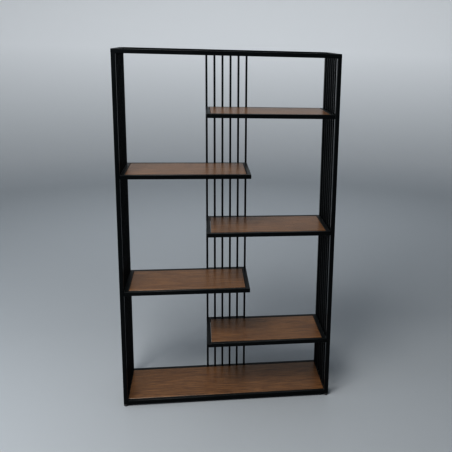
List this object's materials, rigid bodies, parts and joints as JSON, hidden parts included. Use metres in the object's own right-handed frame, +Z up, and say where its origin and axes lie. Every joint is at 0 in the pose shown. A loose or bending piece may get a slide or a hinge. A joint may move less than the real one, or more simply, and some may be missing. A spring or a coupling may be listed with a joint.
{
  "type": "bookcase with adjustable shelves",
  "caption": "Tall open bookcase of black square steel tube with round bars at the sides and back, and half-width wooden shelves that alternate left and right.",
  "frame": {"origin": "on the floor under the middle of the bookcase, where its feet stand", "axes": "+Z up, +X to the right seen from the front, the front faces -Y"},
  "size_m": [1.068, 0.34, 1.8],
  "materials": {
    "black_steel": "matt black powder coat",
    "wood": "satin walnut, grain along the length",
    "foot_plastic": "moulded black",
    "insert_plastic": "moulded black",
    "screw_steel": "black oxide"
  },
  "bodies": {
    "frame": {"front_left_post": "black_steel", "front_right_post": "black_steel", "rear_left_post": "black_steel", "rear_right_post": "black_steel", "foot_inserts": "insert_plastic", "top_front_rail": "black_steel", "top_rear_rail": "black_steel", "top_side_rails": "black_steel", "base_front_rail": "black_steel", "base_rear_rail": "black_steel", "base_side_rails": "black_steel", "back_rods": "black_steel", "left_side_bars": "black_steel", "right_side_bars": "black_steel", "base_board_tabs": "black_steel"},
    "base_board": {"base_board": "wood"},
    "shelf_1": {"shelf_1_front_rail": "black_steel", "shelf_1_rear_rail": "black_steel", "shelf_1_side_rail": "black_steel", "shelf_1_free_rail": "black_steel", "shelf_1_board_tabs": "black_steel", "shelf_1_clamp_bars": "black_steel", "shelf_1_clamp_screws": "screw_steel"},
    "shelf_1_board": {"shelf_1_board": "wood"},
    "shelf_2": {"shelf_2_front_rail": "black_steel", "shelf_2_rear_rail": "black_steel", "shelf_2_side_rail": "black_steel", "shelf_2_free_rail": "black_steel", "shelf_2_board_tabs": "black_steel", "shelf_2_clamp_bars": "black_steel", "shelf_2_clamp_screws": "screw_steel"},
    "shelf_2_board": {"shelf_2_board": "wood"},
    "shelf_3": {"shelf_3_front_rail": "black_steel", "shelf_3_rear_rail": "black_steel", "shelf_3_side_rail": "black_steel", "shelf_3_free_rail": "black_steel", "shelf_3_board_tabs": "black_steel", "shelf_3_clamp_bars": "black_steel", "shelf_3_clamp_screws": "screw_steel"},
    "shelf_3_board": {"shelf_3_board": "wood"},
    "shelf_4": {"shelf_4_front_rail": "black_steel", "shelf_4_rear_rail": "black_steel", "shelf_4_side_rail": "black_steel", "shelf_4_free_rail": "black_steel", "shelf_4_board_tabs": "black_steel", "shelf_4_clamp_bars": "black_steel", "shelf_4_clamp_screws": "screw_steel"},
    "shelf_4_board": {"shelf_4_board": "wood"},
    "shelf_5": {"shelf_5_front_rail": "black_steel", "shelf_5_rear_rail": "black_steel", "shelf_5_side_rail": "black_steel", "shelf_5_free_rail": "black_steel", "shelf_5_board_tabs": "black_steel", "shelf_5_clamp_bars": "black_steel", "shelf_5_clamp_screws": "screw_steel"},
    "shelf_5_board": {"shelf_5_board": "wood"},
    "front_left_foot": {"front_left_foot": "foot_plastic"},
    "front_right_foot": {"front_right_foot": "foot_plastic"},
    "rear_left_foot": {"rear_left_foot": "foot_plastic"},
    "rear_right_foot": {"rear_right_foot": "foot_plastic"}
  },
  "joints": [
    {"name": "base_board_lift", "type": "slide", "parent": "frame", "child": "base_board", "axis": [0, 0, 1], "range_m": [0, 0.12]},
    {"name": "shelf_1_height", "type": "slide", "parent": "frame", "child": "shelf_1", "axis": [0, 0, 1], "range_m": [-0.125, 0.125]},
    {"name": "shelf_1_board_lift", "type": "slide", "parent": "shelf_1", "child": "shelf_1_board", "axis": [0, 0, 1], "range_m": [0, 0.12]},
    {"name": "shelf_2_height", "type": "slide", "parent": "frame", "child": "shelf_2", "axis": [0, 0, 1], "range_m": [-0.125, 0.125]},
    {"name": "shelf_2_board_lift", "type": "slide", "parent": "shelf_2", "child": "shelf_2_board", "axis": [0, 0, 1], "range_m": [0, 0.12]},
    {"name": "shelf_3_height", "type": "slide", "parent": "frame", "child": "shelf_3", "axis": [0, 0, 1], "range_m": [-0.125, 0.125]},
    {"name": "shelf_3_board_lift", "type": "slide", "parent": "shelf_3", "child": "shelf_3_board", "axis": [0, 0, 1], "range_m": [0, 0.12]},
    {"name": "shelf_4_height", "type": "slide", "parent": "frame", "child": "shelf_4", "axis": [0, 0, 1], "range_m": [-0.125, 0.125]},
    {"name": "shelf_4_board_lift", "type": "slide", "parent": "shelf_4", "child": "shelf_4_board", "axis": [0, 0, 1], "range_m": [0, 0.12]},
    {"name": "shelf_5_height", "type": "slide", "parent": "frame", "child": "shelf_5", "axis": [0, 0, 1], "range_m": [-0.125, 0.125]},
    {"name": "shelf_5_board_lift", "type": "slide", "parent": "shelf_5", "child": "shelf_5_board", "axis": [0, 0, 1], "range_m": [0, 0.12]},
    {"name": "front_left_foot_screw", "type": "slide", "parent": "frame", "child": "front_left_foot", "axis": [0, 0, -1], "range_m": [0, 0.01]},
    {"name": "front_right_foot_screw", "type": "slide", "parent": "frame", "child": "front_right_foot", "axis": [0, 0, -1], "range_m": [0, 0.01]},
    {"name": "rear_left_foot_screw", "type": "slide", "parent": "frame", "child": "rear_left_foot", "axis": [0, 0, -1], "range_m": [0, 0.01]},
    {"name": "rear_right_foot_screw", "type": "slide", "parent": "frame", "child": "rear_right_foot", "axis": [0, 0, -1], "range_m": [0, 0.01]}
  ]
}
